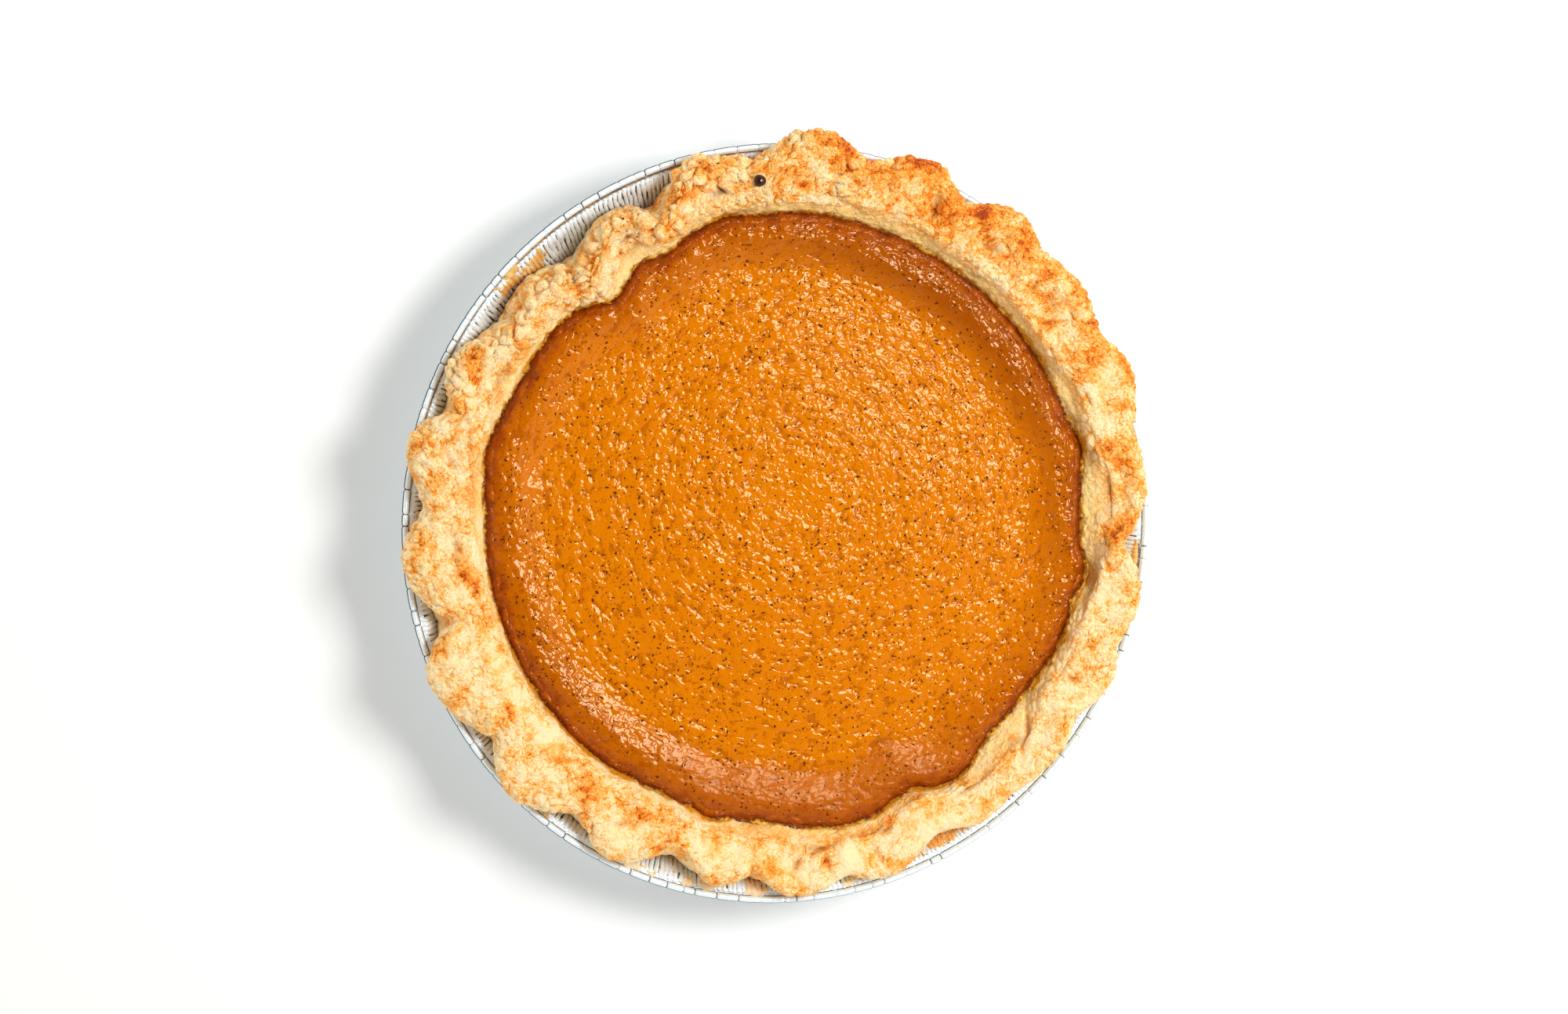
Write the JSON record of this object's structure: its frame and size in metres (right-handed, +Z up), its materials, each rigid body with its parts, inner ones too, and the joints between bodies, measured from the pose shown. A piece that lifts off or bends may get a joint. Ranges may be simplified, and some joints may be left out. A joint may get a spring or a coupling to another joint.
{
  "type": "pumpkin pie",
  "caption": "Round single-crust custard pie in its pressed foil tin, with a hand-fluted pastry rim and a glossy orange filling; it stands flat on its base.",
  "frame": {"origin": "centre of the tin's flat base, on its underside", "axes": "+Z up out of the filling, +X towards the right of the pie as it is shown from above, +Y towards the top"},
  "size_m": [0.223, 0.2271, 0.0396],
  "materials": {
    "foil": "thin pressed aluminium foil, bright, with fine radial crimps and a rolled bead",
    "pastry": null,
    "custard": null
  },
  "bodies": {
    "root": {"tin": "foil", "crust": "pastry", "filling": "custard"}
  },
  "joints": []
}
